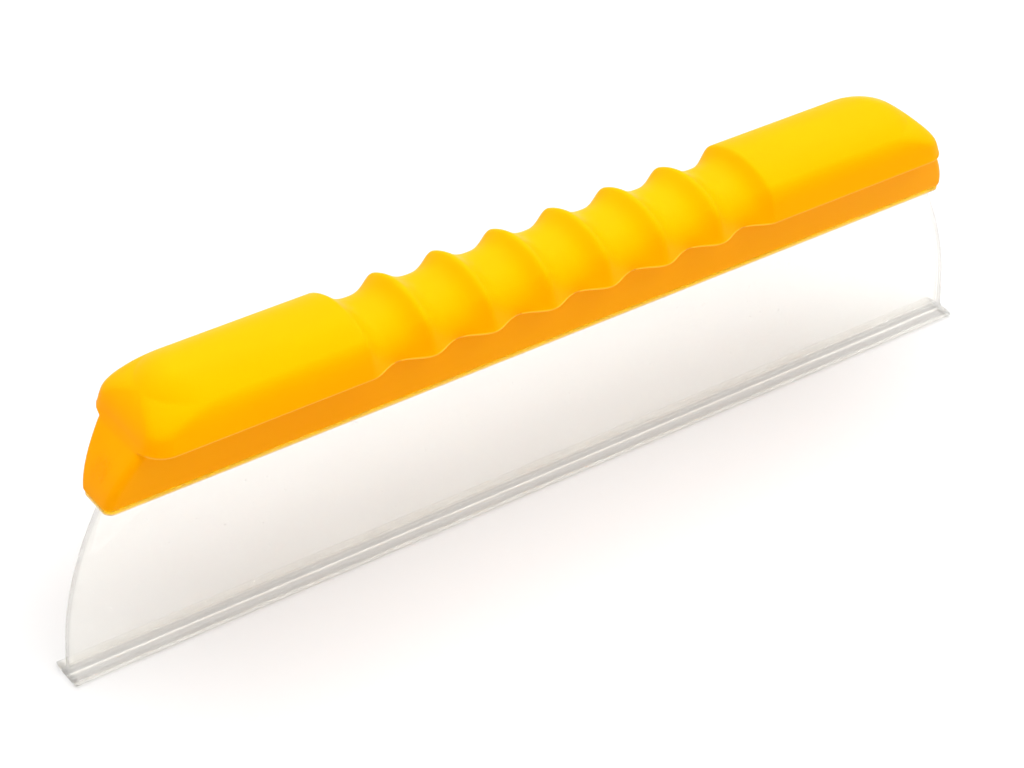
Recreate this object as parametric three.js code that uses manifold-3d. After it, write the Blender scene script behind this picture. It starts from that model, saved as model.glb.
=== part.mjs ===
// Water blade with a T-shaped wiping edge: a moulded grip with finger ridges, a clear
// silicone blade, and the clamp that holds the blade's root inside the grip.
// Millimetres. X runs along the tool, Y across it, Z up; the T edge rests on z = 0
// and the origin is under the middle of the tool.

import * as THREE from 'three';
import { mergeVertices } from 'three/addons/utils/BufferGeometryUtils.js';
import Module from 'manifold-3d';

const wasm = await Module();
wasm.setup();

// ---- driving dimensions -------------------------------------------------------

const GAP = 0.3;                 // clearance between neighbouring pieces

// wiping edge
const EDGE_LENGTH = 305;
const EDGE_HALF_WIDTH = 5.6;     // tips of the T, which stand clear of the surface
const EDGE_FOOT = 3.4;           // half width of the flat that rests
const TIP_LIFT = 0.6;
const TIP_THICKNESS = 0.6;
const ARM_THICKNESS = 1.7;       // where the arms meet the fillets
const GROOVE_HALF = 0.5;         // groove under the middle of the T
const GROOVE_DEPTH = 0.4;

// web
const WEB_THICKNESS = 2.2;
const WEB_FOOT_INSET = 0.5;      // web ends this far inside the ends of the T
const WEB_END_CURVE = 13.5;      // how far the ends draw in at the handle
const WEB_END_POWER = 2.2;
const FILLET = 1.6;              // web to T

// flange of the blade under the handle, and the root inside it
const HANDLE_BOTTOM = 53.3;
const FLANGE_THICKNESS = 1.4;
const FLANGE_INSET = 0.3;
const ROOT_HALF_LENGTH = 127.5;
const ROOT_TOP = 72.4;

// handle
const SKIRT_HALF_LENGTH = 140.4; // at the bottom
const SKIRT_HALF_WIDTH = 7.1;
const SKIRT_TOP = 70.6;
const SKIRT_TOP_HALF_LENGTH = 131.75;
const SKIRT_TOP_HALF_WIDTH = 11.6;
const SKIRT_END_POWER = 1.5;     // 1 gives straight ends, more lets them flare towards the bottom
const SKIRT_CORNER = 2.6;
const LIP = 71;                  // lower edge of the grip
const GRIP_HALF_LENGTH = 131.3;
const GRIP_HALF_WIDTH = 17.2;
const GRIP_CORNER = 7;
const WALL_TOP = 75.2;           // top of the grip's upright side
const WALL_TOP_HALF_WIDTH = 16.4;
const CROWN_TOP = 85.1;
const CROWN_RADIUS = 25;
const CROWN_HALF_WIDTH = 13;     // where the crown turns into the shoulder
const CROWN_CORNER = 3.5;
const DOME_START = 0.3;          // share of the grip's height from which its ends turn into domes
const DOME_END = 1;
const END_ROUNDING = 15.5;        // how far the ends of the crown roll off along X
const END_POWER = 1.7;

// finger hollows: a soft wave along the lip, deeper and with narrower ridges on the crown
const RIDGE_PITCH = 19.1;
const SCALLOPS = 7;
const LIP_SCALLOP_DEPTH = 3.25;
const CROWN_SCALLOP_DEPTH = 4.1;
const RIDGE_SINK = 0.7;          // ridges lie this far below the plain ends of the crown
const RIDGE_ROUNDING = 0.15;
const HOLLOW_FULLNESS = 2.7;     // larger values give hollows with flat floors and steep sides
const CROWN_BLEND = 0.7;         // how soon above the lip the wave becomes that of the crown
const HOLLOW_POWER = 2.2;        // roundness of the section through the middle of a hollow
const STEPS_PER_SCALLOP = 10;

// hollow of the handle, clamp bars and screws
const HOLLOW_HALF_LENGTH = 128.5;
const HOLLOW_HALF_WIDTH = 5.4;
const HOLLOW_TOP = 73.5;
const BAR_HALF_LENGTH = 128;
const SCREW_COUNT = 6;
const SCREW_SPACING = 48;
const SCREW_HEIGHT = 63;
const SCREW_RADIUS = 1.5;
const HEAD_RADIUS = 2.7;
const HEAD_THICKNESS = 1.6;
const SCREW_TIP = 1.2;           // length of the cone at the end
const RECESS_WIDTH = 0.7;
const RECESS_LENGTH = 2.8;
const RECESS_DEPTH = 0.9;
const ROUND_SIDES = 20;

const edgeHalf = EDGE_LENGTH / 2;
const webHalf = WEB_THICKNESS / 2;
const flangeBottom = HANDLE_BOTTOM - GAP - FLANGE_THICKNESS;
const bendHeight = flangeBottom - GAP - webHalf;   // axis about which the web bends

// ---- materials -------------------------------------------------------------------

const gripPlastic = () => new THREE.MeshStandardMaterial({
  color: 0xffb700, roughness: 0.42, metalness: 0,
});
const clearSilicone = () => new THREE.MeshStandardMaterial({
  color: 0xe9eee8, roughness: 0.12, metalness: 0, transparent: true, opacity: 0.4,
});
const clampPlastic = () => new THREE.MeshStandardMaterial({
  color: 0xd8d4c8, roughness: 0.55, metalness: 0,
});
const screwSteel = () => new THREE.MeshStandardMaterial({
  color: 0xb9bcc0, roughness: 0.35, metalness: 1,
});

// ---- solids ------------------------------------------------------------------------

function weld(geometry) {
  const bare = geometry.clone();
  bare.deleteAttribute('normal');
  bare.deleteAttribute('uv');
  return mergeVertices(bare, 1e-4);
}

function toSolid(geometry) {
  const welded = weld(geometry);
  const triangles = [];
  const index = welded.index.array;
  for (let i = 0; i < index.length; i += 3) {
    const [a, b, c] = [index[i], index[i + 1], index[i + 2]];
    if (a !== b && b !== c && c !== a) triangles.push(a, b, c);
  }
  return new wasm.Manifold(new wasm.Mesh({
    numProp: 3,
    vertProperties: new Float32Array(welded.attributes.position.array),
    triVerts: new Uint32Array(triangles),
  }));
}

function toGeometry(solid) {
  const mesh = solid.getMesh();
  const geometry = new THREE.BufferGeometry();
  geometry.setAttribute('position', new THREE.BufferAttribute(mesh.vertProperties, 3));
  geometry.setIndex(new THREE.BufferAttribute(mesh.triVerts, 1));
  geometry.computeVertexNormals();
  return geometry;
}

// box between two corners
function block(x0, x1, y0, y1, z0, z1) {
  const geometry = new THREE.BoxGeometry(x1 - x0, y1 - y0, z1 - z0);
  geometry.translate((x0 + x1) / 2, (y0 + y1) / 2, (z0 + z1) / 2);
  return toSolid(geometry);
}

// outline drawn in Y and Z, run along X over the length 2 * half
function runAlong(outline, half) {
  const geometry = new THREE.ExtrudeGeometry(outline, {
    depth: 2 * half, bevelEnabled: false, curveSegments: 6,
  });
  geometry.rotateX(Math.PI / 2);
  geometry.rotateZ(Math.PI / 2);
  geometry.translate(-half, 0, 0);
  return toSolid(geometry);
}

// outline drawn in X and Z, given the thickness 2 * half across Y
function plate(outline, half) {
  const geometry = new THREE.ExtrudeGeometry(outline, {
    depth: 2 * half, bevelEnabled: false, curveSegments: 6,
  });
  geometry.rotateX(Math.PI / 2);
  geometry.translate(0, half, 0);
  return toSolid(geometry);
}

// round bar across the tool, from y0 to y1
function roundAcross(radius, x, z, y0, y1) {
  const geometry = new THREE.CylinderGeometry(radius, radius, y1 - y0, ROUND_SIDES);
  geometry.translate(x, (y0 + y1) / 2, z);
  return toSolid(geometry);
}

// ---- handle ---------------------------------------------------------------------------

// depth of the finger hollows at a place along the tool; crown is 0 on the lip, 1 on the top
function hollowDepth(x, crown) {
  const along = x / RIDGE_PITCH + SCALLOPS / 2;
  if (along <= 0 || along >= SCALLOPS) return 0;
  const wave = 0.5 - 0.5 * Math.cos(2 * Math.PI * along);
  const fromRidge = 1 - Math.abs(2 * (along % 1) - 1);
  const rounded = Math.hypot(fromRidge, RIDGE_ROUNDING) - RIDGE_ROUNDING;
  const share = rounded / (Math.hypot(1, RIDGE_ROUNDING) - RIDGE_ROUNDING);
  const hollow = 1 - (1 - share) ** HOLLOW_FULLNESS;
  const inside = THREE.MathUtils.smoothstep(Math.min(along, SCALLOPS - along), 0, 0.5);
  const sink = RIDGE_SINK * inside;
  const onCrown = sink + (CROWN_SCALLOP_DEPTH - sink) * hollow;
  return THREE.MathUtils.lerp(LIP_SCALLOP_DEPTH * wave, onCrown, crown);
}

// how far the ends of the grip draw in at a height
function endRoll(z) {
  const rise = Math.min(1, (z - LIP) / (CROWN_TOP - LIP));
  return END_ROUNDING * (1 - (1 - rise ** END_POWER) ** (1 / END_POWER));
}

// how a point of the section moves, in Y and Z, for each millimetre of a hollow's depth;
// in the middle of a hollow the section is a superellipse
function sinkPath(y, rise, crown) {
  const wide = y / GRIP_HALF_WIDTH;
  const size = (wide ** HOLLOW_POWER + rise ** HOLLOW_POWER) ** (1 / HOLLOW_POWER);
  const height = CROWN_TOP - LIP;
  const sunkY = (GRIP_HALF_WIDTH - LIP_SCALLOP_DEPTH) * wide / size;
  const sunkRise = (height - CROWN_SCALLOP_DEPTH) * rise / size;
  const depth = THREE.MathUtils.lerp(LIP_SCALLOP_DEPTH, CROWN_SCALLOP_DEPTH, crown);
  return [(y - sunkY) / depth, (rise * height - sunkRise) / depth];
}

// A level of the handle is a rounded rectangle at a height. Its sink path tells how the
// finger hollows move it; crown tells whether their wave is that of the lip or of the crown.
function gripLevel(halfWidth, z) {
  const rise = (z - LIP) / (CROWN_TOP - LIP);
  const crown = Math.sin(0.5 * Math.PI * rise) ** CROWN_BLEND;
  const dome = CROWN_HALF_WIDTH * THREE.MathUtils.smoothstep(rise, DOME_START, DOME_END);
  const corner = THREE.MathUtils.lerp(GRIP_CORNER, CROWN_CORNER, rise) + dome;
  return {
    halfLength: GRIP_HALF_LENGTH - endRoll(z),
    halfWidth,
    z,
    crown,
    sink: sinkPath(halfWidth, rise, crown),
    corner: Math.min(corner, halfWidth),
  };
}

function skirtLevel(part) {
  const lerp = THREE.MathUtils.lerp;
  return {
    halfLength: lerp(SKIRT_HALF_LENGTH, SKIRT_TOP_HALF_LENGTH, part ** SKIRT_END_POWER),
    halfWidth: lerp(SKIRT_HALF_WIDTH, SKIRT_TOP_HALF_WIDTH, part),
    z: lerp(HANDLE_BOTTOM, SKIRT_TOP, part),
    crown: 0,
    sink: [0, 0],
    corner: SKIRT_CORNER,
  };
}

const crownHeight = (y) => CROWN_TOP - CROWN_RADIUS + Math.sqrt(CROWN_RADIUS ** 2 - y * y);

// curve of the shoulder, from the upright side to the crown, in Y and Z
function shoulderCurve() {
  const end = new THREE.Vector2(CROWN_HALF_WIDTH, crownHeight(CROWN_HALF_WIDTH));
  const slope = -end.x / Math.sqrt(CROWN_RADIUS ** 2 - end.x ** 2);
  const lean = (WALL_TOP_HALF_WIDTH - GRIP_HALF_WIDTH) / (WALL_TOP - LIP);
  const y = (GRIP_HALF_WIDTH + lean * (end.y - slope * end.x - LIP)) / (1 - lean * slope);
  const knee = new THREE.Vector2(y, end.y + slope * (y - end.x));
  const start = new THREE.Vector2(WALL_TOP_HALF_WIDTH, WALL_TOP);
  return new THREE.QuadraticBezierCurve(start, knee, end);
}

function handleLevels() {
  const levels = [0, 0.3, 0.6, 0.85, 1].map(skirtLevel);
  levels.push(gripLevel(GRIP_HALF_WIDTH, LIP));
  const shoulder = shoulderCurve();
  for (const part of [0, 0.3, 0.6, 1]) {
    const point = shoulder.getPoint(part);
    levels.push(gripLevel(point.x, point.y));
  }
  for (const part of [0.78, 0.54, 0.28, 0]) {
    const y = CROWN_HALF_WIDTH * part;
    levels.push(gripLevel(y, crownHeight(y)));
  }
  return levels;
}

// points of one level, anticlockwise from the middle of the front
function levelPoints(level) {
  const { halfLength, halfWidth, z, crown, sink, corner } = level;
  const hollowed = RIDGE_PITCH * SCALLOPS / 2;
  const stations = [];
  const steps = SCALLOPS * STEPS_PER_SCALLOP;
  for (let i = 0; i <= steps; i += 1) {
    stations.push(-hollowed + 2 * hollowed * i / steps);
  }
  const straight = halfLength - corner;
  const runs = [0.5, 1].map((t) => hollowed + (straight - hollowed) * t);
  const front = [...runs.map((x) => -x).reverse(), ...stations, ...runs];
  const outline = front.map((x) => [x, -halfWidth]);
  const arcSteps = 4;
  const arc = (sx, from) => {
    for (let i = 1; i < arcSteps; i += 1) {
      const angle = from + Math.PI / 2 * i / arcSteps;
      const cx = sx * straight;
      const cy = Math.sign(Math.sin(angle)) * (halfWidth - corner);
      outline.push([cx + corner * Math.cos(angle), cy + corner * Math.sin(angle)]);
    }
  };
  arc(1, -Math.PI / 2);
  outline.push([halfLength, -(halfWidth - corner)], [halfLength, halfWidth - corner]);
  arc(1, 0);
  outline.push(...front.slice().reverse().map((x) => [x, halfWidth]));
  arc(-1, Math.PI / 2);
  outline.push([-halfLength, halfWidth - corner], [-halfLength, -(halfWidth - corner)]);
  arc(-1, Math.PI);
  return outline.map(([x, y]) => {
    const depth = hollowDepth(x, crown);
    return new THREE.Vector3(x, y - Math.sign(y) * sink[0] * depth, z - sink[1] * depth);
  });
}

// skin through the levels, closed flat at the bottom; the last level is a line
function stack(levels) {
  const rings = levels.map(levelPoints);
  const count = rings[0].length;
  const positions = rings.flat().flatMap((p) => [p.x, p.y, p.z]);
  const index = [];
  for (let level = 0; level + 1 < rings.length; level += 1) {
    for (let i = 0; i < count; i += 1) {
      const j = (i + 1) % count;
      const [a, b] = [level * count + i, level * count + j];
      index.push(a, b, b + count, a, b + count, a + count);
    }
  }
  const floor = rings[0].map((p) => new THREE.Vector2(p.x, p.y));
  for (const [a, b, c] of THREE.ShapeUtils.triangulateShape(floor, [])) {
    index.push(a, c, b);
  }
  const geometry = new THREE.BufferGeometry();
  geometry.setAttribute('position', new THREE.Float32BufferAttribute(positions, 3));
  geometry.setIndex(index);
  return toSolid(geometry);
}

function makeGrip() {
  const skin = stack(handleLevels());
  const hollow = block(
    -HOLLOW_HALF_LENGTH, HOLLOW_HALF_LENGTH,
    -HOLLOW_HALF_WIDTH, HOLLOW_HALF_WIDTH,
    HANDLE_BOTTOM - 1, HOLLOW_TOP,
  );
  return skin.subtract(hollow);
}

// ---- blade -------------------------------------------------------------------------------

// half length of the web at a height
function webHalfLength(z) {
  const bow = WEB_END_CURVE * (z / flangeBottom) ** WEB_END_POWER;
  return edgeHalf - WEB_FOOT_INSET - bow;
}

function edgeOutline() {
  const filletTop = ARM_THICKNESS + FILLET;
  const outline = new THREE.Shape();
  outline.moveTo(GROOVE_HALF, 0);
  outline.lineTo(EDGE_FOOT, 0);
  outline.lineTo(EDGE_HALF_WIDTH, TIP_LIFT);
  outline.lineTo(EDGE_HALF_WIDTH, TIP_LIFT + TIP_THICKNESS);
  outline.lineTo(webHalf + FILLET, ARM_THICKNESS);
  outline.absarc(webHalf + FILLET, filletTop, FILLET, -Math.PI / 2, -Math.PI, true);
  outline.lineTo(-webHalf, filletTop);
  outline.absarc(-webHalf - FILLET, filletTop, FILLET, 0, -Math.PI / 2, true);
  outline.lineTo(-EDGE_HALF_WIDTH, TIP_LIFT + TIP_THICKNESS);
  outline.lineTo(-EDGE_HALF_WIDTH, TIP_LIFT);
  outline.lineTo(-EDGE_FOOT, 0);
  outline.lineTo(-GROOVE_HALF, 0);
  outline.lineTo(0, GROOVE_DEPTH);
  return outline;
}

function webOutline() {
  const bottom = ARM_THICKNESS;
  const steps = 8;
  const ends = [];
  for (let i = 0; i <= steps; i += 1) {
    const z = bottom + (bendHeight - bottom) * i / steps;
    ends.push(new THREE.Vector2(webHalfLength(z), z));
  }
  const mirrored = ends.map((p) => new THREE.Vector2(-p.x, p.y)).reverse();
  return new THREE.Shape([...ends, ...mirrored]);
}

// the part of the blade that bends: T edge and web, with a round top on the bending axis
function makeBlade() {
  const edge = runAlong(edgeOutline(), edgeHalf);
  const web = plate(webOutline(), webHalf);
  const half = webHalfLength(bendHeight);
  const round = new THREE.CylinderGeometry(webHalf, webHalf, 2 * half, ROUND_SIDES);
  round.rotateZ(Math.PI / 2);
  round.translate(0, 0, bendHeight);
  return edge.add(web).add(toSolid(round));
}

// the part of the blade that stays: flange under the handle and root between the clamp bars
function makeBladeRoot() {
  const outline = new THREE.Shape();
  const half = SKIRT_HALF_LENGTH - FLANGE_INSET;
  const width = SKIRT_HALF_WIDTH - FLANGE_INSET;
  const corner = SKIRT_CORNER;
  outline.absarc(half - corner, corner - width, corner, -Math.PI / 2, 0);
  outline.absarc(half - corner, width - corner, corner, 0, Math.PI / 2);
  outline.absarc(corner - half, width - corner, corner, Math.PI / 2, Math.PI);
  outline.absarc(corner - half, corner - width, corner, Math.PI, 1.5 * Math.PI);
  const flange = new THREE.ExtrudeGeometry(outline, {
    depth: FLANGE_THICKNESS, bevelEnabled: false, curveSegments: 5,
  });
  flange.translate(0, 0, flangeBottom);
  const flangeTop = flangeBottom + FLANGE_THICKNESS;
  const root = block(
    -ROOT_HALF_LENGTH, ROOT_HALF_LENGTH, -webHalf, webHalf, flangeTop - 0.2, ROOT_TOP,
  );
  let solid = toSolid(flange).add(root);
  for (const x of screwPlaces()) {
    const keyHole = roundAcross(SCREW_RADIUS + GAP, x, SCREW_HEIGHT, -webHalf - 1, webHalf + 1);
    solid = solid.subtract(keyHole);
  }
  return solid;
}

// ---- clamp ---------------------------------------------------------------------------------

function screwPlaces() {
  return Array.from({ length: SCREW_COUNT }, (_, i) => SCREW_SPACING * (i - (SCREW_COUNT - 1) / 2));
}

const barInner = webHalf + GAP;
const barOuter = HOLLOW_HALF_WIDTH - GAP;

// side is -1 for the front bar, which takes the screw heads, and 1 for the rear bar
function makeClampBar(side) {
  const [y0, y1] = side < 0 ? [-barOuter, -barInner] : [barInner, barOuter];
  let bar = block(
    -BAR_HALF_LENGTH, BAR_HALF_LENGTH, y0, y1, HANDLE_BOTTOM, HOLLOW_TOP - GAP,
  );
  for (const x of screwPlaces()) {
    bar = bar.subtract(roundAcross(SCREW_RADIUS + GAP, x, SCREW_HEIGHT, y0 - 1, y1 + 1));
    if (side < 0) {
      const seat = y0 + HEAD_THICKNESS + GAP;
      bar = bar.subtract(roundAcross(HEAD_RADIUS + GAP, x, SCREW_HEIGHT, y0 - 1, seat));
    }
  }
  return bar;
}

// screw with its axis along Y, head to the front, cross recess in the head
function makeScrew() {
  const length = 2 * barOuter - GAP;
  const profile = [
    [0, 0], [HEAD_RADIUS - 0.5, 0], [HEAD_RADIUS, 0.5], [HEAD_RADIUS, HEAD_THICKNESS],
    [SCREW_RADIUS, HEAD_THICKNESS], [SCREW_RADIUS, length - SCREW_TIP], [0, length],
  ].map(([radius, along]) => new THREE.Vector2(radius, along));
  const body = toSolid(new THREE.LatheGeometry(profile, ROUND_SIDES));
  const half = [RECESS_WIDTH / 2, RECESS_LENGTH / 2];
  const slotA = block(-half[0], half[0], -1, RECESS_DEPTH, -half[1], half[1]);
  const slotB = block(-half[1], half[1], -1, RECESS_DEPTH, -half[0], half[0]);
  return body.subtract(slotA).subtract(slotB);
}

// ---- assembly ------------------------------------------------------------------------------

const group = new THREE.Group();

function place(name, solid, material, position = [0, 0, 0]) {
  const mesh = new THREE.Mesh(toGeometry(solid), material);
  mesh.name = name;
  mesh.position.set(...position);
  group.add(mesh);
}

place('grip', makeGrip(), gripPlastic());
place('clamp_bar_front', makeClampBar(-1), clampPlastic());
place('clamp_bar_rear', makeClampBar(1), clampPlastic());
place('blade_root', makeBladeRoot(), clearSilicone());
place('blade', makeBlade(), clearSilicone());
screwPlaces().forEach((x, i) => {
  place(`clamp_screw_${i + 1}`, makeScrew(), screwSteel(), [x, -barOuter, SCREW_HEIGHT]);
});

export default group;
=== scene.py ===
import math

import bmesh
import bpy
from bpy.props import FloatProperty, FloatVectorProperty, IntProperty, PointerProperty
from mathutils import Matrix, Vector


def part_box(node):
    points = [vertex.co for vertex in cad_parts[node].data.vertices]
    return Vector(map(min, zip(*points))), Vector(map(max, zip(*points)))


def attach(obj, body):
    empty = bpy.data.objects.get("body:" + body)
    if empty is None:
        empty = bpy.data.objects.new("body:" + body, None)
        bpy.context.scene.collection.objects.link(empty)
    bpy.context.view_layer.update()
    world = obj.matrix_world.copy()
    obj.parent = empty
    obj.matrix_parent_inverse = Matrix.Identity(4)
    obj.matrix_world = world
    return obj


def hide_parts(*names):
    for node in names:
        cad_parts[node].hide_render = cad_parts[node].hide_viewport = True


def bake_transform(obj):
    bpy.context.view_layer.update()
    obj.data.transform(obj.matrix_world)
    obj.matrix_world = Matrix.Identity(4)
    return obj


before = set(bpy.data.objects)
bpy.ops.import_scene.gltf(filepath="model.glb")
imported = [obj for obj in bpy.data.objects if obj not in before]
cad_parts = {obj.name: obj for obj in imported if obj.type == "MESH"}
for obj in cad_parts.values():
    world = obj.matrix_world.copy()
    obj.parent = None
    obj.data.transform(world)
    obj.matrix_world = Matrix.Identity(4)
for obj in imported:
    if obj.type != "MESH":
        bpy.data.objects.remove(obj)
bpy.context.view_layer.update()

bl_info = {
    "name": "Silicone Water Blade",
    "version": (1, 0, 0),
    "blender": (4, 5, 0),
    "location": "3D View > Sidebar > Water Blade",
    "description": "Builds a water blade with a ridged grip and a clear silicone blade",
    "category": "Add Mesh",
}

MM = 0.001

# Places taken from the frame, in metres
GRIP_LOW, GRIP_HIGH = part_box("grip")
ROOT_LOW, ROOT_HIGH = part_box("blade_root")
EDGE_LOW, EDGE_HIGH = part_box("blade")
SCREWS = ["clamp_screw_%d" % i for i in range(1, 7)]
BARS = ["clamp_bar_front", "clamp_bar_rear"]

HANDLE_BOTTOM = GRIP_LOW.z
CROWN_TOP = GRIP_HIGH.z
SKIRT_HALF_LENGTH = GRIP_HIGH.x
GRIP_HALF_WIDTH = GRIP_HIGH.y
FLANGE_HALF_LENGTH = ROOT_HIGH.x
FLANGE_HALF_WIDTH = ROOT_HIGH.y
FLANGE_BOTTOM = ROOT_LOW.z
ROOT_TOP = ROOT_HIGH.z
EDGE_HALF_LENGTH = EDGE_HIGH.x
EDGE_HALF_WIDTH = EDGE_HIGH.y

# Shape of the handle, as in the solid that it stands for
SKIRT_HALF_WIDTH = 7.1 * MM
SKIRT_TOP = 70.6 * MM
SKIRT_TOP_HALF_LENGTH = 131.75 * MM
SKIRT_TOP_HALF_WIDTH = 11.6 * MM
SKIRT_END_POWER = 1.5
SKIRT_CORNER = 2.6 * MM
SKIRT_TURN = 10 * MM       # curve of the skirt's ends inside the grip
LIP = 71 * MM
GRIP_HALF_LENGTH = 131.3 * MM
GRIP_CORNER = 7 * MM
WALL_TOP = 75.2 * MM
WALL_TOP_HALF_WIDTH = 16.4 * MM
CROWN_RADIUS = 25 * MM
CROWN_HALF_WIDTH = 13 * MM
CROWN_CORNER = 3.5 * MM
DOME_START = 0.3           # share of the grip's height from which its ends turn into domes
DOME_END = 1.0
END_ROUNDING = 15.5 * MM
END_POWER = 1.7
HOLLOW_HALF_LENGTH = 128.5 * MM
HOLLOW_HALF_WIDTH = 5.4 * MM
HOLLOW_TOP = 73.5 * MM
LIP_DEPTH = 3.25 * MM      # of the finger hollows, on the lip and on the crown
CROWN_DEPTH = 4.1 * MM
HOLLOW_POWER = 2.2         # roundness of the section through the middle of a hollow
CROWN_BLEND = 0.7          # how soon above the lip the wave becomes that of the crown
BOTTOM_EDGE = 0.5 * MM
LIP_EDGE = 0.5 * MM
LIP_FILLET = 1.2 * MM
LIP_UNDERSIDE = SKIRT_TOP + 0.1 * MM   # where the lip's underside leaves the fillet
FILLET_SINK = 0.2          # share of a hollow's depth that reaches the fillet under the lip
END_BLEND = 1.6 * MM       # rounding where the ends of skirt and grip meet

# Number of steps in the handle's mesh
EDGE_STEPS = 4
SKIRT_STEPS = 22
FILLET_STEPS = 5
UNDERSIDE_STEPS = 6
LIP_STEPS = 6
WALL_STEPS = 8
SHOULDER_STEPS = 20
CROWN_STEPS = 20
HOLLOW_STATIONS = 44       # along X, in each finger hollow
END_STATIONS = 16          # along X, beyond the hollows

# Marks on the handle, and the painted highlight along its lip
GATE_HEIGHT = 62 * MM      # middle of the rubbed gate mark, on one end of the skirt
GATE_CORE = 1.5 * MM
GATE_REACH = 5 * MM
GATE_START = 128 * MM
GATE_FULL = 134 * MM
LIP_HIGHLIGHT = LIP + 0.2 * MM  # painted highlight along the rounded edge of the lip, on the long sides only
LIP_HIGHLIGHT_CORE = 0.1 * MM
LIP_HIGHLIGHT_REACH = 0.6 * MM
SIDE_START = 12 * MM
SIDE_FULL = 13.5 * MM

# Shape of the blade
EDGE_FOOT = 3.4 * MM
TIP_LIFT = 0.6 * MM
TIP_THICKNESS = 0.6 * MM
ARM_THICKNESS = 1.7 * MM
GROOVE_HALF = 0.5 * MM
GROOVE_DEPTH = 0.4 * MM
WEB_HALF = 1.1 * MM
WEB_FOOT_INSET = 0.5 * MM
WEB_END_CURVE = 13.5 * MM
WEB_END_POWER = 2.2
FILLET = 1.6 * MM
FLANGE_THICKNESS = 1.4 * MM
FLANGE_FILLET = 0.7 * MM
ROOT_HALF_LENGTH = 127.5 * MM
KEY_HOLE = 1.8 * MM
BLADE_EDGE = 0.15 * MM    # rounding of the blade's sharp edges
FLANGE_EDGE = 0.35 * MM
FOOT_END_POWER = 0.7      # how the ends of the T run up into the ends of the web
FLANGE_REFLECTION_HEIGHT = 0.7 * MM    # height over which the handle's yellow is painted on the flange as reflected light
EDGE_SHADE_WIDTH = 1.6 * MM      # painted shade: greyer band along the ends of the web, where the clear edge shows a dark line

# Number of steps in the blade's mesh
FOOT_STEPS = 8
WEB_STEPS = 44
FLANGE_FILLET_STEPS = 4
FLANGE_EDGE_STEPS = 3
BLADE_STATIONS = 40        # along X, on either side of the middle

# Camera, in degrees and metres
CAMERA_AZIMUTH = -35.64
CAMERA_ELEVATION = 35.91
CAMERA_ROLL = 0.92
CAMERA_DISTANCE = 0.7853
CAMERA_TARGET = Vector((-0.0108, 0, 0.037))


# ---- settings --------------------------------------------------------------------


class RidgeSettings(bpy.types.PropertyGroup):
    """Sizes of the finger hollows and the ridges between them."""

    pitch: FloatProperty(
        name="Ridge pitch", description="Distance from one ridge to the next",
        default=19.1 * MM, min=0.01, max=0.03, subtype="DISTANCE", unit="LENGTH")
    hollows: IntProperty(
        name="Hollows", description="Number of finger hollows", default=7, min=1, max=9)
    crown_depth: FloatProperty(
        name="Crown depth", description="Depth of the hollows on top of the grip",
        default=CROWN_DEPTH, min=0, max=0.008, subtype="DISTANCE", unit="LENGTH")
    lip_depth: FloatProperty(
        name="Lip depth", description="Depth of the hollows along the grip's lower edge",
        default=LIP_DEPTH, min=0, max=0.006, subtype="DISTANCE", unit="LENGTH")
    sink: FloatProperty(
        name="Ridge sink", description="How far ridges lie below the plain ends",
        default=0.7 * MM, min=0, max=0.003, subtype="DISTANCE", unit="LENGTH")
    rounding: FloatProperty(
        name="Ridge rounding", description="Larger values make broader ridges",
        default=0.15, min=0.02, max=1, subtype="FACTOR")
    fullness: FloatProperty(
        name="Hollow fullness", description="Larger values make flat floors and steep sides",
        default=2.7, min=1, max=8)


class FinishSettings(bpy.types.PropertyGroup):
    """Colours and finishes of the pieces."""

    grip_colour: FloatVectorProperty(
        name="Grip", description="Colour of the moulded handle",
        default=(1.0, 0.37, 0.0), min=0, max=1, size=3, subtype="COLOR")
    grip_deep: FloatVectorProperty(
        name="Grip, deep", description="Colour of the handle where the plastic is thick or rubbed",
        default=(0.98, 0.32, 0.0), min=0, max=1, size=3, subtype="COLOR")
    # Painted highlight: the pale line along the lip's rounded edge, where it catches the light.
    painted_lip_highlight: FloatVectorProperty(
        name="Grip, edge", description="Colour of the thin edge of the lip",
        default=(1.0, 0.5, 0.06), min=0, max=1, size=3, subtype="COLOR")
    silicone_colour: FloatVectorProperty(
        name="Silicone", description="Tint of the clear silicone",
        default=(1.0, 0.965, 0.87), min=0, max=1, size=3, subtype="COLOR")
    # Serves both real dust and the painted shade along the ends of the web.
    dust_and_edge_shade: FloatVectorProperty(
        name="Silicone, grey", description="Tint of dust and of the ends of the web",
        default=(0.45, 0.46, 0.44), min=0, max=1, size=3, subtype="COLOR")
    # Painted reflection: the yellow that the handle throws onto the clear flange under it.
    flange_handle_reflection: FloatVectorProperty(
        name="Flange", description="Colour that the handle gives to the clear flange under it",
        default=(1.0, 0.43, 0.0), min=0, max=1, size=3, subtype="COLOR")
    clamp_colour: FloatVectorProperty(
        name="Clamp bars", description="Colour of the bars inside the handle",
        default=(0.68, 0.65, 0.57), min=0, max=1, size=3, subtype="COLOR")
    steel_colour: FloatVectorProperty(
        name="Screws", description="Colour of the screws",
        default=(0.55, 0.56, 0.58), min=0, max=1, size=3, subtype="COLOR")


class StudioSettings(bpy.types.PropertyGroup):
    """Floor, lights and camera."""

    floor_colour: FloatVectorProperty(
        name="Floor", description="Colour of the floor",
        default=(0.66, 0.66, 0.66), min=0, max=1, size=3, subtype="COLOR")
    sky: FloatProperty(
        name="Sky", description="Strength of the even light from all round",
        default=0.55, min=0, max=5)
    key: FloatProperty(
        name="Key light", description="Power of the large soft light above",
        default=28, min=0, max=200, unit="POWER")
    fill: FloatProperty(
        name="Front fill", description="Power of the soft light in front",
        default=11, min=0, max=200, unit="POWER")
    lens: FloatProperty(
        name="Lens", description="Focal length of the camera",
        default=99.53, min=20, max=300, unit="CAMERA")


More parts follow.
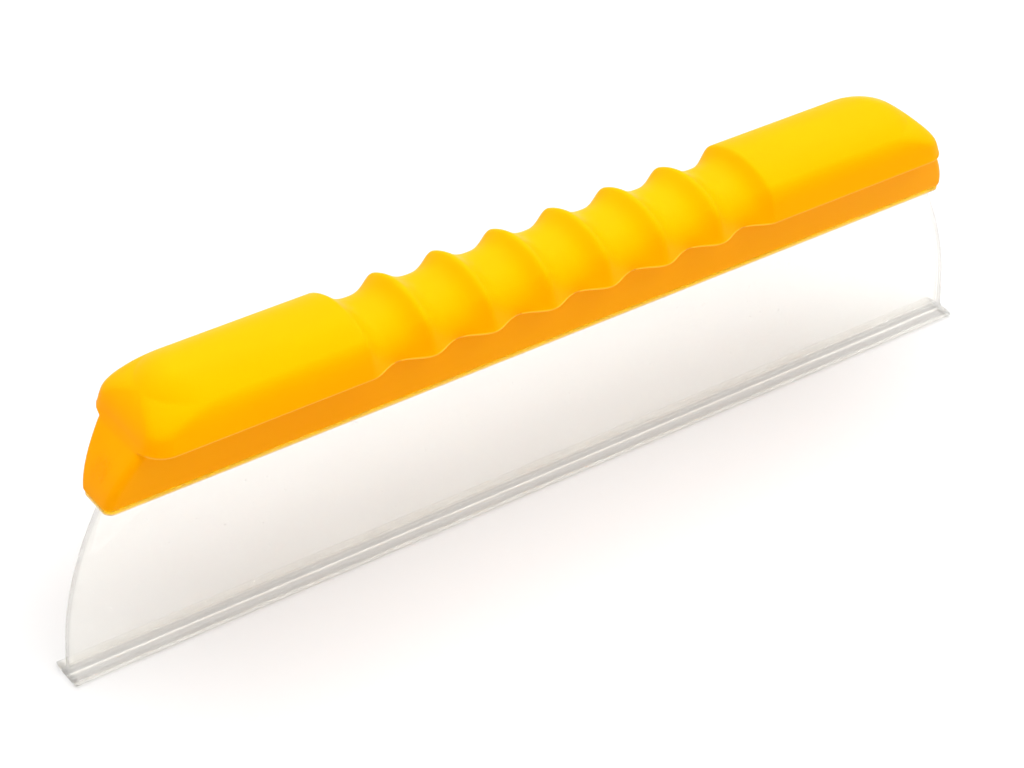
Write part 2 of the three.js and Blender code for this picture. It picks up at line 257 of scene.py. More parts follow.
# ---- node helpers ------------------------------------------------------------------


def link(tree, source, target):
    """Feeds a socket from another socket, a Value or a constant."""
    if isinstance(source, Value):
        source = source.socket
    if isinstance(source, bpy.types.NodeSocket):
        tree.links.new(source, target)
    else:
        target.default_value = source


def add(tree, kind, settings=None, **inputs):
    """Adds a node, sets its settings, then fills its sockets by name (spaces as _)."""
    node = tree.nodes.new(kind)
    for name, value in (settings or {}).items():
        setattr(node, name, value)
    for name, value in inputs.items():
        link(tree, value, find_socket(node.inputs, name.replace("_", " ")))
    return node


def find_socket(sockets, name):
    """The usable socket of that name."""
    for socket in sockets:
        if socket.name == name and socket.enabled:
            return socket
    raise KeyError(name)


class Value:
    """A number carried by a socket. Sums written with it add the Math nodes."""

    def __init__(self, tree, socket):
        self.tree = tree
        self.socket = socket

    def math(self, operation, *others):
        node = self.tree.nodes.new("ShaderNodeMath")
        node.operation = operation
        for target, source in zip(node.inputs, (self, *others)):
            link(self.tree, source, target)
        return Value(self.tree, node.outputs[0])

    def __add__(self, other):
        return self.math("ADD", other)

    def __mul__(self, other):
        return self.math("MULTIPLY", other)

    def __sub__(self, other):
        return self.math("SUBTRACT", other)

    def __rsub__(self, other):
        node = self.tree.nodes.new("ShaderNodeMath")
        node.operation = "SUBTRACT"
        link(self.tree, other, node.inputs[0])
        link(self.tree, self, node.inputs[1])
        return Value(self.tree, node.outputs[0])

    def __truediv__(self, other):
        return self.math("DIVIDE", other)

    def __pow__(self, other):
        return self.math("POWER", other)

    __radd__ = __add__
    __rmul__ = __mul__

    def clamp(self):
        return self.math("MINIMUM", 1.0).math("MAXIMUM", 0.0)

    def step(self, low, high):
        """Smooth rise from 0 at low to 1 at high."""
        node = add(self.tree, "ShaderNodeMapRange", {"interpolation_type": "SMOOTHSTEP"},
                   Value=self, From_Min=low, From_Max=high)
        return Value(self.tree, node.outputs[0])


# ---- materials ---------------------------------------------------------------------


class Finish:
    """A material with its node tree, one Principled shader and the piece's own coordinates."""

    def __init__(self, name):
        self.material = bpy.data.materials.new(name)
        self.material.use_nodes = True
        self.tree = self.material.node_tree
        self.tree.nodes.clear()
        self.output = self.add("ShaderNodeOutputMaterial")
        self.shader = self.add("ShaderNodeBsdfPrincipled")
        self.tree.links.new(self.shader.outputs[0], self.output.inputs["Surface"])
        self.place = self.add("ShaderNodeTexCoord").outputs["Object"]

    def add(self, kind, settings=None, **inputs):
        return add(self.tree, kind, settings, **inputs)

    def set(self, **inputs):
        for name, value in inputs.items():
            link(self.tree, value, self.shader.inputs[name.replace("_", " ")])

    def axes(self):
        parts = self.add("ShaderNodeSeparateXYZ", Vector=self.place)
        return [Value(self.tree, socket) for socket in parts.outputs]

    def noise(self, scale, detail=2.0, roughness=0.5, stretch=(1, 1, 1)):
        """Noise from 0 to 1; scale is in features per metre."""
        mapping = self.add("ShaderNodeMapping", Vector=self.place, Scale=stretch)
        node = self.add("ShaderNodeTexNoise", Vector=mapping.outputs[0], Scale=scale,
                        Detail=detail, Roughness=roughness)
        return Value(self.tree, node.outputs[0])

    def blend(self, factor, first, second):
        node = self.add("ShaderNodeMix", {"data_type": "RGBA"}, Factor=factor, A=first, B=second)
        return node.outputs["Result"]

    def bump(self, height, distance, strength=1.0):
        node = self.add("ShaderNodeBump", Strength=strength, Distance=distance, Height=height)
        self.set(Normal=node.outputs[0])


def rgba(colour):
    return (*colour, 1.0)


def grip_plastic(finish):
    """Satin yellow plastic, faintly mottled, with a rubbed gate mark at one end and a painted
    highlight along the edge of the lip.
    """
    made = Finish("grip_plastic")
    x, y, z = made.axes()
    mottle = made.noise(28, 3, 0.6, (0.35, 1, 1))
    speckle = made.noise(2600, 2, 0.6)
    scuff = made.noise(900, 4, 0.7, (1, 2.2, 0.6))
    end = (0.0 - x).step(GATE_START, GATE_FULL)
    gate_y = 1.0 - y.math("ABSOLUTE").step(GATE_CORE, GATE_REACH)
    gate_z = 1.0 - (z - GATE_HEIGHT).math("ABSOLUTE").step(GATE_CORE, GATE_REACH)
    gate = end * gate_y * gate_z * scuff.step(0.42, 0.62)
    deep = (mottle.step(0.35, 0.75) * 0.5 + gate * 0.7).clamp()
    # Painted highlight: a pale line along the lip's edge, on the long sides only.
    on_side = y.math("ABSOLUTE").step(SIDE_START, SIDE_FULL)
    off_line = (z - LIP_HIGHLIGHT).math("ABSOLUTE").step(LIP_HIGHLIGHT_CORE, LIP_HIGHLIGHT_REACH)
    highlit = on_side * (1.0 - off_line)
    colour = made.blend(deep, rgba(finish.grip_colour), rgba(finish.grip_deep))
    made.set(
        Base_Color=made.blend(highlit * 0.6, colour, rgba(finish.painted_lip_highlight)),
        Roughness=(0.36 + mottle * 0.08 + gate * 0.15 + speckle * 0.03).clamp(),
        IOR=1.46,
        Specular_IOR_Level=0.03,
        Specular_Tint=(1.0, 0.72, 0.02, 1.0),
        Subsurface_Weight=0.12,
        Subsurface_Radius=(1.0, 0.35, 0.05),
        Subsurface_Scale=1.5 * MM,
    )
    made.bump(speckle * 0.6 + gate * 4.0 + mottle * 2.0, 0.03 * MM, 0.5)
    return made.material


def clear_silicone(finish):
    """Water-clear silicone with a soft skin, with a painted reflection of the yellow handle where
    it lies under the handle and painted shade along the ends of the web.
    """
    made = Finish("clear_silicone")
    x, _, z = made.axes()
    # Painted reflection of the yellow handle on the flange under it; this zone is also made less
    # clear.
    under_handle = z.step(FLANGE_BOTTOM, FLANGE_BOTTOM + FLANGE_REFLECTION_HEIGHT)
    bow = (z / FLANGE_BOTTOM).math("MAXIMUM", 0.0) ** WEB_END_POWER * WEB_END_CURVE
    web_end = EDGE_HALF_LENGTH - WEB_FOOT_INSET - bow
    # Painted shade: a greyer band along the ends of the web, where the clear edge shows a dark
    # line.
    edge_shade = (x.math("ABSOLUTE") - web_end).step(-EDGE_SHADE_WIDTH, 0.0)
    haze = made.noise(40, 3, 0.55)
    dust = made.noise(1400, 1, 0.5).step(0.74, 0.8)
    colour = made.blend((dust * 0.5 + edge_shade * 0.6).clamp(), rgba(finish.silicone_colour),
                        rgba(finish.dust_and_edge_shade))
    made.set(
        Base_Color=made.blend(under_handle, colour, rgba(finish.flange_handle_reflection)),
        Roughness=(0.02 + haze.step(0.4, 0.8) * 0.05 + dust * 0.3).clamp(),
        IOR=1.41,
        Transmission_Weight=0.85,
        Alpha=0.36 + under_handle * 0.62 + edge_shade * (1.0 - under_handle) * 0.2,
    )
    made.bump(haze, 0.2 * MM, 0.25)
    return made.material


def clamp_plastic(finish):
    """Matt natural plastic of the clamp bars."""
    made = Finish("clamp_plastic")
    mottle = made.noise(60, 3, 0.6, (0.3, 1, 1))
    grain = made.noise(3000, 2, 0.6)
    darker = tuple(0.85 * part for part in finish.clamp_colour)
    made.set(
        Base_Color=made.blend(mottle, rgba(finish.clamp_colour), rgba(darker)),
        Roughness=0.55 + mottle * 0.1,
        IOR=1.5,
    )
    made.bump(grain, 0.03 * MM, 0.5)
    return made.material


def screw_steel(finish):
    """Turned steel with fine tool marks round the screw's axis."""
    made = Finish("screw_steel")
    marks = made.noise(5000, 2, 0.6, (0.2, 1, 0.2))
    darker = tuple(0.8 * part for part in finish.steel_colour)
    made.set(
        Base_Color=made.blend(marks, rgba(finish.steel_colour), rgba(darker)),
        Roughness=0.28 + marks * 0.15,
        Metallic=1.0,
    )
    made.bump(marks, 0.02 * MM, 0.5)
    return made.material


def studio_floor(studio):
    """Pale seamless floor."""
    made = Finish("studio_floor")
    tone = made.noise(3, 2, 0.5)
    darker = tuple(0.985 * part for part in studio.floor_colour)
    made.set(
        Base_Color=made.blend(tone, rgba(studio.floor_colour), rgba(darker)),
        Roughness=0.7 + tone * 0.1,
        IOR=1.3,
    )
    return made.material


# ---- meshes ------------------------------------------------------------------------


def mix(a, b, share):
    return a + (b - a) * share


def smooth_max(a, b, reach):
    """The larger of two sizes, with the change between them rounded over reach."""
    gap = max(reach - abs(a - b), 0) / reach
    return max(a, b) + gap * gap * reach / 4


class Level:
    """A rounded rectangle at a height. Its sink path is how the finger hollows move it, in Y
    and Z; crown tells whether their wave is that of the lip, 0, or of the crown, 1."""

    def __init__(self, half_length, half_width, z, corner, sink=(0, 0), crown=0):
        self.half_length = half_length
        self.half_width = half_width
        self.z = z
        self.corner = min(corner, half_width)
        self.sink = sink
        self.crown = crown

    def outline(self, middle, spread, end_steps=8, arc_steps=8):
        """Points (x, y) anticlockwise from the front left; middle are fixed places along X."""
        straight = self.half_length - self.corner
        reach = middle[-1] if middle else 0
        runs = [mix(reach, straight, (i + 1) / spread) for i in range(spread)]
        front = [-x for x in reversed(runs)] + middle + runs
        side = self.half_width - self.corner
        points = [(x, -self.half_width) for x in front]
        points += self.arc(1, -1, -0.5 * math.pi, arc_steps)
        across = [mix(-side, side, i / end_steps) for i in range(end_steps + 1)]
        points += [(self.half_length, y) for y in across]
        points += self.arc(1, 1, 0, arc_steps)
        points += [(x, self.half_width) for x in reversed(front)]
        points += self.arc(-1, 1, 0.5 * math.pi, arc_steps)
        points += [(-self.half_length, y) for y in reversed(across)]
        points += self.arc(-1, -1, math.pi, arc_steps)
        return points

    def arc(self, sx, sy, start, steps):
        cx = sx * (self.half_length - self.corner)
        cy = sy * (self.half_width - self.corner)
        turns = [start + 0.5 * math.pi * i / steps for i in range(1, steps)]
        return [(cx + self.corner * math.cos(t), cy + self.corner * math.sin(t)) for t in turns]


def skin(name, levels, middle, spread):
    """Closed mesh through the levels, whose first and last are lines."""
    mesh = bpy.data.meshes.new(name)
    build = bmesh.new()
    sink_layer = build.verts.layers.float_vector.new("sink_path")
    crown_layer = build.verts.layers.float.new("crown_share")
    rings = []
    for level in levels:
        ring = []
        for x, y in level.outline(middle, spread):
            vert = build.verts.new((x, y, level.z))
            side = (y > 0) - (y < 0)
            vert[sink_layer] = (0, side * level.sink[0], level.sink[1])
            vert[crown_layer] = level.crown
            ring.append(vert)
        rings.append(ring)
    for low, high in zip(rings, rings[1:]):
        count = len(low)
        for i in range(count):
            j = (i + 1) % count
            build.faces.new((low[i], low[j], high[j], high[i]))
    bmesh.ops.remove_doubles(build, verts=build.verts, dist=1e-7)
    bmesh.ops.dissolve_degenerate(build, edges=build.edges, dist=1e-7)
    bmesh.ops.recalc_face_normals(build, faces=build.faces)
    build.to_mesh(mesh)
    build.free()
    return mesh


def put(name, mesh, material):
    """Object at the origin with one material and smooth faces."""
    piece = bpy.data.objects.new(name, mesh)
    bpy.context.scene.collection.objects.link(piece)
    mesh.materials.clear()
    mesh.materials.append(material)
    mesh.shade_smooth()
    mesh.set_sharp_from_angle(angle=math.radians(50))
    return piece


def drop_paths(piece):
    """Removes the attributes that only the finger hollows need."""
    for name in ("sink_path", "crown_share"):
        if name in piece.data.attributes:
            piece.data.attributes.remove(piece.data.attributes[name])


def freeze(piece):
    """Turns the piece's modifiers into its mesh."""
    graph = bpy.context.evaluated_depsgraph_get()
    mesh = bpy.data.meshes.new_from_object(piece.evaluated_get(graph))
    piece.modifiers.clear()
    piece.data = mesh
    return piece


# ---- handle ------------------------------------------------------------------------


def end_roll(z):
    """How far the ends of the grip draw in at a height."""
    rise = min(1, max(0, (z - LIP) / (CROWN_TOP - LIP)))
    return END_ROUNDING * (1 - (1 - rise ** END_POWER) ** (1 / END_POWER))


def skirt_length(z):
    """Half length of the skirt, which goes on inwards inside the grip."""
    share = (z - HANDLE_BOTTOM) / (SKIRT_TOP - HANDLE_BOTTOM)
    inside = max(0, z - SKIRT_TOP)
    reach = mix(SKIRT_HALF_LENGTH, SKIRT_TOP_HALF_LENGTH, max(0, share) ** SKIRT_END_POWER)
    return reach - inside * inside / SKIRT_TURN


def handle_length(z):
    """Half length of the handle's ends, with a soft hollow where skirt and grip meet."""
    return smooth_max(skirt_length(z), GRIP_HALF_LENGTH - end_roll(z), END_BLEND)


def sink_path(y, rise, crown):
    """How a point of the section moves, in Y and Z, for each metre of a hollow's depth."""
    wide = y / GRIP_HALF_WIDTH
    size = (wide ** HOLLOW_POWER + rise ** HOLLOW_POWER) ** (1 / HOLLOW_POWER)
    height = CROWN_TOP - LIP
    sunk_y = (GRIP_HALF_WIDTH - LIP_DEPTH) * wide / size
    sunk_rise = (height - CROWN_DEPTH) * rise / size
    depth = mix(LIP_DEPTH, CROWN_DEPTH, crown)
    return (y - sunk_y) / depth, (rise * height - sunk_rise) / depth


def grip_level(half_width, z):
    rise = (z - LIP) / (CROWN_TOP - LIP)
    crown = math.sin(0.5 * math.pi * rise) ** CROWN_BLEND
    dome = min(1, max(0, (rise - DOME_START) / (DOME_END - DOME_START)))
    corner = mix(GRIP_CORNER, CROWN_CORNER, rise) + CROWN_HALF_WIDTH * dome * dome * (3 - 2 * dome)
    path = sink_path(half_width, rise, crown)
    return Level(handle_length(z), half_width, z, corner, path, crown)


def crown_height(y):
    return CROWN_TOP - CROWN_RADIUS + math.sqrt(CROWN_RADIUS ** 2 - y * y)


def shoulder(share):
    """Point, in Y and Z, on the curve from the upright side to the crown."""
    end = Vector((CROWN_HALF_WIDTH, crown_height(CROWN_HALF_WIDTH)))
    slope = -end.x / math.sqrt(CROWN_RADIUS ** 2 - end.x ** 2)
    lean = (WALL_TOP_HALF_WIDTH - GRIP_HALF_WIDTH) / (WALL_TOP - LIP)
    knee_y = (GRIP_HALF_WIDTH + lean * (end.y - slope * end.x - LIP)) / (1 - lean * slope)
    knee = Vector((knee_y, end.y + slope * (knee_y - end.x)))
    start = Vector((WALL_TOP_HALF_WIDTH, WALL_TOP))
    return start.lerp(knee, share).lerp(knee.lerp(end, share), share)


def handle_levels():
    """Levels from the ceiling of the hollow, down, round the bottom edge and up to the crown."""
    levels = [
        Level(HOLLOW_HALF_LENGTH, 0, HOLLOW_TOP, 0),
        Level(HOLLOW_HALF_LENGTH, HOLLOW_HALF_WIDTH, HOLLOW_TOP, 0.2 * MM),
        Level(HOLLOW_HALF_LENGTH, HOLLOW_HALF_WIDTH, HANDLE_BOTTOM, 0.2 * MM),
    ]
    for i in range(EDGE_STEPS + 1):
        turn = 0.5 * math.pi * i / EDGE_STEPS
        inset = BOTTOM_EDGE * (1 - math.sin(turn))
        z = HANDLE_BOTTOM + BOTTOM_EDGE * (1 - math.cos(turn))
        levels.append(Level(SKIRT_HALF_LENGTH - inset, SKIRT_HALF_WIDTH - inset, z, SKIRT_CORNER))
    start = HANDLE_BOTTOM + BOTTOM_EDGE
    for i in range(1, SKIRT_STEPS + 1):
        levels.append(skirt_level(mix(start, SKIRT_TOP - LIP_FILLET, i / SKIRT_STEPS)))
    levels += lip_levels()
    for i in range(WALL_STEPS):
        y = mix(GRIP_HALF_WIDTH, WALL_TOP_HALF_WIDTH, i / WALL_STEPS)
        levels.append(grip_level(y, mix(LIP + LIP_EDGE, WALL_TOP, i / WALL_STEPS)))
    for i in range(SHOULDER_STEPS + 1):
        point = shoulder(i / SHOULDER_STEPS)
        levels.append(grip_level(point.x, point.y))
    for i in range(1, CROWN_STEPS + 1):
        y = CROWN_HALF_WIDTH * (1 - i / CROWN_STEPS)
        levels.append(grip_level(y, crown_height(y)))
    return levels


def skirt_level(z):
    share = (z - HANDLE_BOTTOM) / (SKIRT_TOP - HANDLE_BOTTOM)
    half_width = mix(SKIRT_HALF_WIDTH, SKIRT_TOP_HALF_WIDTH, share)
    return Level(handle_length(z), half_width, z, SKIRT_CORNER)


def lip_levels():
    """Hollow corner under the lip, the lip's underside and its rounded edge."""
    places = []
    low = skirt_level(SKIRT_TOP - LIP_FILLET)
    reach = SKIRT_TOP_HALF_WIDTH + LIP_FILLET
    for i in range(1, FILLET_STEPS + 1):
        turn = 0.5 * math.pi * i / FILLET_STEPS
        y = mix(low.half_width, reach, 1 - math.cos(turn))
        z = mix(low.z, LIP_UNDERSIDE, math.sin(turn))
        places.append((y, z, FILLET_SINK * i / FILLET_STEPS))
    for i in range(1, UNDERSIDE_STEPS + 1):
        share = i / UNDERSIDE_STEPS
        y = mix(reach, GRIP_HALF_WIDTH - LIP_EDGE, share)
        places.append((y, mix(LIP_UNDERSIDE, LIP, share), mix(FILLET_SINK, 1, share)))
    for i in range(1, LIP_STEPS):
        turn = 0.5 * math.pi * i / LIP_STEPS
        y = GRIP_HALF_WIDTH - LIP_EDGE * (1 - math.sin(turn))
        places.append((y, LIP + LIP_EDGE * (1 - math.cos(turn)), 1))
    return [Level(handle_length(z), y, z, mix(SKIRT_CORNER, GRIP_CORNER, sink), (sink, 0))
            for y, z, sink in places]


def hollow_tree():
    """Geometry nodes that sink finger hollows into the plain grip."""
    tree = bpy.data.node_groups.new("finger_hollows", "GeometryNodeTree")
    face = tree.interface
    face.new_socket("Geometry", in_out="INPUT", socket_type="NodeSocketGeometry")
    for name in ("Pitch", "Hollows", "Crown Depth", "Lip Depth", "Sink", "Rounding", "Fullness"):
        face.new_socket(name, in_out="INPUT", socket_type="NodeSocketFloat")
    face.new_socket("Material", in_out="INPUT", socket_type="NodeSocketMaterial")
    face.new_socket("Geometry", in_out="OUTPUT", socket_type="NodeSocketGeometry")
    given = add(tree, "NodeGroupInput")
    value = {socket.name: Value(tree, socket) for socket in given.outputs}
    where = add(tree, "GeometryNodeInputPosition")
    x = Value(tree, add(tree, "ShaderNodeSeparateXYZ", Vector=where.outputs[0]).outputs[0])
    along = x / value["Pitch"] + value["Hollows"] * 0.5
    inside = along.math("MINIMUM", value["Hollows"] - along)
    wave = 0.5 - 0.5 * (along * (2 * math.pi)).math("COSINE")
    r = value["Rounding"]
    from_ridge = 1.0 - (along.math("FRACT") * 2.0 - 1.0).math("ABSOLUTE")
    rounded = (from_ridge * from_ridge + r * r) ** 0.5 - r
    share = rounded / ((r * r + 1.0) ** 0.5 - r)
    hollow = 1.0 - (1.0 - share) ** value["Fullness"]
    sink = value["Sink"] * inside.step(0.0, 0.5)
    on_crown = sink + (value["Crown Depth"] - sink) * hollow
    on_lip = value["Lip Depth"] * wave
    crown = Value(tree, add(tree, "GeometryNodeInputNamedAttribute", {"data_type": "FLOAT"},
                            Name="crown_share").outputs[0])
    depth = (on_lip + (on_crown - on_lip) * crown) * inside.math("GREATER_THAN", 0.0)
    way = add(tree, "GeometryNodeInputNamedAttribute", {"data_type": "FLOAT_VECTOR"},
              Name="sink_path")
    offset = add(tree, "ShaderNodeVectorMath", {"operation": "SCALE"},
                 Vector=way.outputs[0], Scale=depth * -1.0)
    moved = add(tree, "GeometryNodeSetPosition", Geometry=given.outputs["Geometry"],
                Offset=offset.outputs[0])
    real = add(tree, "GeometryNodeRealizeInstances", Geometry=moved.outputs[0])
    painted = add(tree, "GeometryNodeSetMaterial", Geometry=real.outputs[0],
                  Material=given.outputs["Material"])
    result = add(tree, "NodeGroupOutput")
    tree.links.new(painted.outputs[0], result.inputs[0])
    return tree


def fill_inputs(modifier, values):
    """Sets the inputs of a geometry nodes modifier by the names of their sockets."""
    for item in modifier.node_group.interface.items_tree:
        if item.item_type == "SOCKET" and item.in_out == "INPUT" and item.name in values:
            modifier[item.identifier] = values[item.name]


class BuildHandle(bpy.types.Operator):
    """Builds the moulded handle with its finger hollows"""

    bl_idname = "water_blade.handle"
    bl_label = "Handle"

    def execute(self, context):
        ridges = context.scene.water_blade_ridges
        material = grip_plastic(context.scene.water_blade_finish)
        half = ridges.pitch * ridges.hollows / 2
        steps = ridges.hollows * HOLLOW_STATIONS
        middle = [mix(-half, half, i / steps) for i in range(steps + 1)]
        mesh = skin("handle_shell", handle_levels(), middle, END_STATIONS)
        piece = put("handle_shell", mesh, material)
        modifier = piece.modifiers.new("Finger hollows", "NODES")
        modifier.node_group = hollow_tree()
        fill_inputs(modifier, {
            "Pitch": ridges.pitch, "Hollows": float(ridges.hollows),
            "Crown Depth": ridges.crown_depth, "Lip Depth": ridges.lip_depth,
            "Sink": ridges.sink, "Rounding": ridges.rounding, "Fullness": ridges.fullness,
            "Material": material,
        })
        freeze(piece)
        drop_paths(piece)
        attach(piece, "handle")
        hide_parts("grip")
        return {"FINISHED"}


# ---- blade -------------------------------------------------------------------------


def web_length(z):
    """Half length of the web at a height."""
    bow = WEB_END_CURVE * (z / FLANGE_BOTTOM) ** WEB_END_POWER
    return EDGE_HALF_LENGTH - WEB_FOOT_INSET - bow


def blade_levels():
    """Levels from the groove under the T edge, up the web to the flange and the root."""
    fine = BLADE_EDGE
    full = EDGE_HALF_LENGTH
    tip = TIP_LIFT + TIP_THICKNESS
    levels = [
        Level(full - fine, 0, GROOVE_DEPTH, 0),
        Level(full - fine, GROOVE_HALF, 0, 0),
        Level(full - fine, EDGE_FOOT, 0, fine),
        Level(full, EDGE_FOOT + fine, fine / 2, fine),
        Level(full, EDGE_HALF_WIDTH - fine, TIP_LIFT - fine / 3, fine),
        Level(full, EDGE_HALF_WIDTH, TIP_LIFT + fine, fine),
        Level(full, EDGE_HALF_WIDTH, tip - fine, fine),
        Level(full, EDGE_HALF_WIDTH - fine, tip + fine / 4, fine),
        Level(full, WEB_HALF + FILLET, ARM_THICKNESS, fine),
    ]
    for i in range(1, FOOT_STEPS + 1):
        turn = 0.5 * math.pi * i / FOOT_STEPS
        y = WEB_HALF + FILLET * (1 - math.sin(turn))
        z = ARM_THICKNESS + FILLET * (1 - math.cos(turn))
        length = mix(full, web_length(z), (i / FOOT_STEPS) ** FOOT_END_POWER)
        levels.append(Level(length, y, z, 2 * fine))
    foot = ARM_THICKNESS + FILLET
    top = FLANGE_BOTTOM - FLANGE_FILLET
    for i in range(1, WEB_STEPS + 1):
        z = mix(foot, top, i / WEB_STEPS)
        levels.append(Level(web_length(z), WEB_HALF, z, 2 * fine))
    for i in range(1, FLANGE_FILLET_STEPS + 1):
        turn = 0.5 * math.pi * i / FLANGE_FILLET_STEPS
        grow = FLANGE_FILLET * (1 - math.cos(turn))
        z = top + FLANGE_FILLET * math.sin(turn)
        levels.append(Level(web_length(z) + grow, WEB_HALF + grow, z, 3 * fine))
    levels += flange_levels()
    levels += [
        Level(ROOT_HALF_LENGTH, WEB_HALF, FLANGE_BOTTOM + FLANGE_THICKNESS, fine),
        Level(ROOT_HALF_LENGTH, WEB_HALF, ROOT_TOP, fine),
        Level(ROOT_HALF_LENGTH, 0, ROOT_TOP, 0),
    ]
    return levels


def flange_levels():
    """Rounded edge of the flange that lies under the handle."""
    places = []
    for i in range(FLANGE_EDGE_STEPS + 1):
        turn = 0.5 * math.pi * i / FLANGE_EDGE_STEPS
        rise = FLANGE_EDGE * (1 - math.cos(turn))
        places.append((FLANGE_EDGE * (1 - math.sin(turn)), FLANGE_BOTTOM + rise))
    for i in range(FLANGE_EDGE_STEPS + 1):
        turn = 0.5 * math.pi * i / FLANGE_EDGE_STEPS
        drop = FLANGE_EDGE * (1 - math.sin(turn))
        places.append((FLANGE_EDGE * (1 - math.cos(turn)), FLANGE_BOTTOM + FLANGE_THICKNESS - drop))
    return [Level(FLANGE_HALF_LENGTH - inset, FLANGE_HALF_WIDTH - inset, z, SKIRT_CORNER)
            for inset, z in places]


def cut_key_holes(piece):
    """Cuts the holes through which the clamp screws pass the root."""
    tool = bmesh.new()
    for name in SCREWS:
        low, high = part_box(name)
        centre = (low + high) / 2
        place = Matrix.Translation((centre.x, 0, centre.z)) @ Matrix.Rotation(math.pi / 2, 4, "X")
        bmesh.ops.create_cone(tool, cap_ends=True, segments=32, radius1=KEY_HOLE,
                              radius2=KEY_HOLE, depth=8 * WEB_HALF, matrix=place)
    mesh = bpy.data.meshes.new("key_holes")
    tool.to_mesh(mesh)
    tool.free()
    cutter = bpy.data.objects.new("key_holes", mesh)
    bpy.context.scene.collection.objects.link(cutter)
    cut = piece.modifiers.new("Key holes", "BOOLEAN")
    cut.operation = "DIFFERENCE"
    cut.object = cutter
    freeze(piece)
    bpy.data.objects.remove(cutter)


class BuildBlade(bpy.types.Operator):
    """Builds the clear silicone blade with its T edge, flange and root"""

    bl_idname = "water_blade.blade"
    bl_label = "Blade"

    def execute(self, context):
        material = clear_silicone(context.scene.water_blade_finish)
        mesh = skin("silicone_blade", blade_levels(), [0.0], BLADE_STATIONS)
        piece = put("silicone_blade", mesh, material)
        cut_key_holes(piece)
        drop_paths(piece)
        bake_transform(piece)
        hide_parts("blade", "blade_root")
        return {"FINISHED"}


class FinishClamp(bpy.types.Operator):
    """Gives the clamp bars and screws inside the handle their finishes"""

    bl_idname = "water_blade.clamp"
    bl_label = "Clamp bars and screws"

    def execute(self, context):
        finish = context.scene.water_blade_finish
        plastic = clamp_plastic(finish)
        steel = screw_steel(finish)
        for name, material, slot in (
                *((bar, plastic, "clamp_plastic") for bar in BARS),
                *((screw, steel, "screw_steel") for screw in SCREWS)):
            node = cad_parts[name]
            node.data.materials.clear()
            node.data.materials.append(material)
        return {"FINISHED"}


# ---- studio ------------------------------------------------------------------------


def look_from(azimuth, elevation, roll, distance, target):
    """Matrix of a camera or lamp that looks at target; angles in degrees, azimuth 0 looks
    along +Y."""
    azimuth, elevation, roll = (math.radians(angle) for angle in (azimuth, elevation, roll))
    back = Vector((math.sin(azimuth) * math.cos(elevation),
                   -math.cos(azimuth) * math.cos(elevation), math.sin(elevation)))
    right = (-back).cross(Vector((0, 0, 1))).normalized()
    up = right.cross(-back)
    turned = right * math.cos(roll) + up * math.sin(roll)
    upright = up * math.cos(roll) - right * math.sin(roll)
    turn = Matrix((turned, upright, back)).transposed().to_4x4()
    return Matrix.Translation(target + back * distance) @ turn


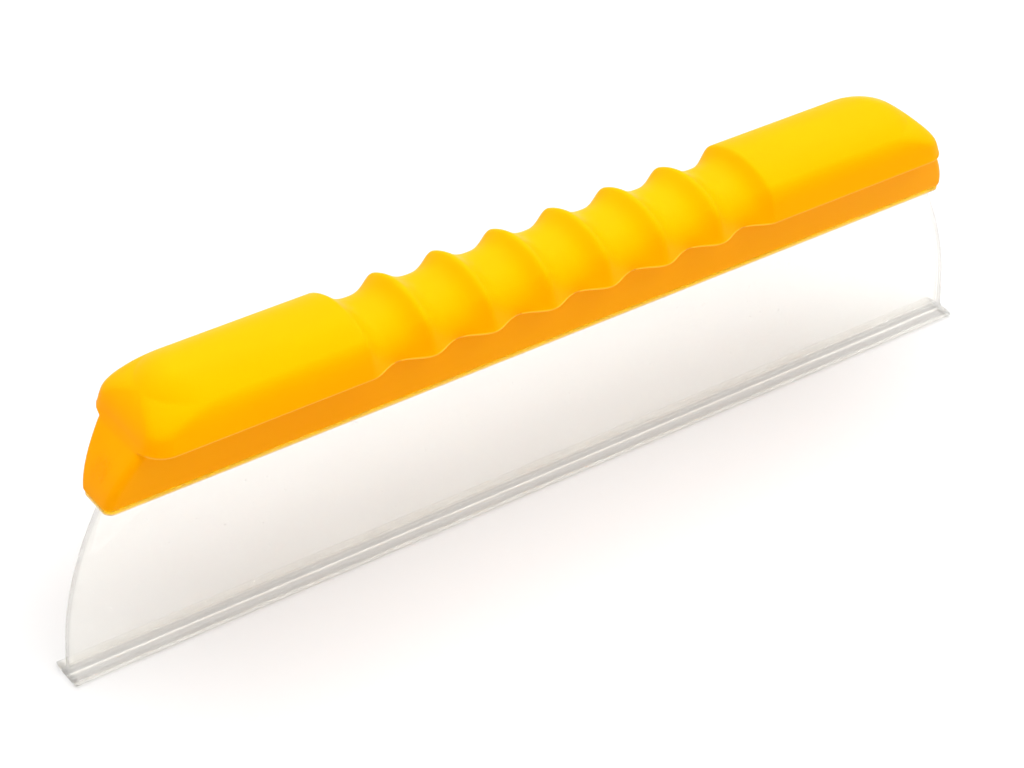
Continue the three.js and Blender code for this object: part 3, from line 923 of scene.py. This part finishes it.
class BuildStudio(bpy.types.Operator):
    """Adds the floor, the soft lights and the camera"""

    bl_idname = "water_blade.studio"
    bl_label = "Studio"

    def execute(self, context):
        studio = context.scene.water_blade_studio
        self.add_floor(studio)
        self.add_sky(context.scene, studio)
        self.add_lamp(context.scene, "key_light", size=(2.0, 2.0), power=studio.key,
                      azimuth=150, elevation=80, distance=1.2)
        self.add_lamp(context.scene, "front_fill", size=(1.6, 1.0), power=studio.fill,
                      azimuth=35, elevation=60, distance=1.5)
        self.add_camera(context.scene, studio)
        context.scene.view_settings.view_transform = "Standard"
        return {"FINISHED"}

    def add_floor(self, studio):
        build = bmesh.new()
        bmesh.ops.create_grid(build, x_segments=8, y_segments=8, size=6)
        mesh = bpy.data.meshes.new("floor")
        build.to_mesh(mesh)
        build.free()
        floor = put("floor", mesh, studio_floor(studio))

    def add_sky(self, scene, studio):
        world = bpy.data.worlds.new("studio_sky")
        world.use_nodes = True
        background = world.node_tree.nodes["Background"]
        background.inputs["Color"].default_value = (1, 1, 1, 1)
        background.inputs["Strength"].default_value = studio.sky
        scene.world = world

    def add_lamp(self, scene, name, size, power, azimuth, elevation, distance):
        light = bpy.data.lights.new(name, "AREA")
        light.shape = "RECTANGLE"
        light.size, light.size_y = size
        light.energy = power
        lamp = bpy.data.objects.new(name, light)
        lamp.matrix_world = look_from(azimuth, elevation, 0, distance, Vector((0, 0, 0.05)))
        scene.collection.objects.link(lamp)

    def add_camera(self, scene, studio):
        lens = bpy.data.cameras.new("camera")
        lens.sensor_width = 36
        lens.lens = studio.lens
        lens.clip_start = 0.01
        lens.clip_end = 50
        camera = bpy.data.objects.new("camera", lens)
        camera.matrix_world = look_from(
            CAMERA_AZIMUTH, CAMERA_ELEVATION, CAMERA_ROLL, CAMERA_DISTANCE, CAMERA_TARGET)
        scene.collection.objects.link(camera)
        scene.camera = camera


# ---- panel and registration ------------------------------------------------------------


STEPS = (BuildHandle, BuildBlade, FinishClamp, BuildStudio)


class WaterBladePanel(bpy.types.Panel):
    """Lists the steps that build the tool and the sizes and colours that they use"""

    bl_idname = "VIEW3D_PT_water_blade"
    bl_label = "Water Blade"
    bl_space_type = "VIEW_3D"
    bl_region_type = "UI"
    bl_category = "Water Blade"

    def draw(self, context):
        for step in STEPS:
            self.layout.operator(step.bl_idname)
        for settings in (context.scene.water_blade_ridges, context.scene.water_blade_finish,
                         context.scene.water_blade_studio):
            box = self.layout.box()
            for name in settings.__annotations__:
                box.prop(settings, name)


SETTINGS = {
    "water_blade_ridges": RidgeSettings,
    "water_blade_finish": FinishSettings,
    "water_blade_studio": StudioSettings,
}
CLASSES = (*SETTINGS.values(), *STEPS, WaterBladePanel)


def register():
    for item in CLASSES:
        bpy.utils.register_class(item)
    for name, group in SETTINGS.items():
        setattr(bpy.types.Scene, name, PointerProperty(type=group))


def unregister():
    for name in SETTINGS:
        delattr(bpy.types.Scene, name)
    for item in reversed(CLASSES):
        bpy.utils.unregister_class(item)


def main():
    register()
    bpy.ops.water_blade.handle()
    bpy.ops.water_blade.blade()
    bpy.ops.water_blade.clamp()
    bpy.ops.water_blade.studio()


if __name__ == "__main__":
    main()
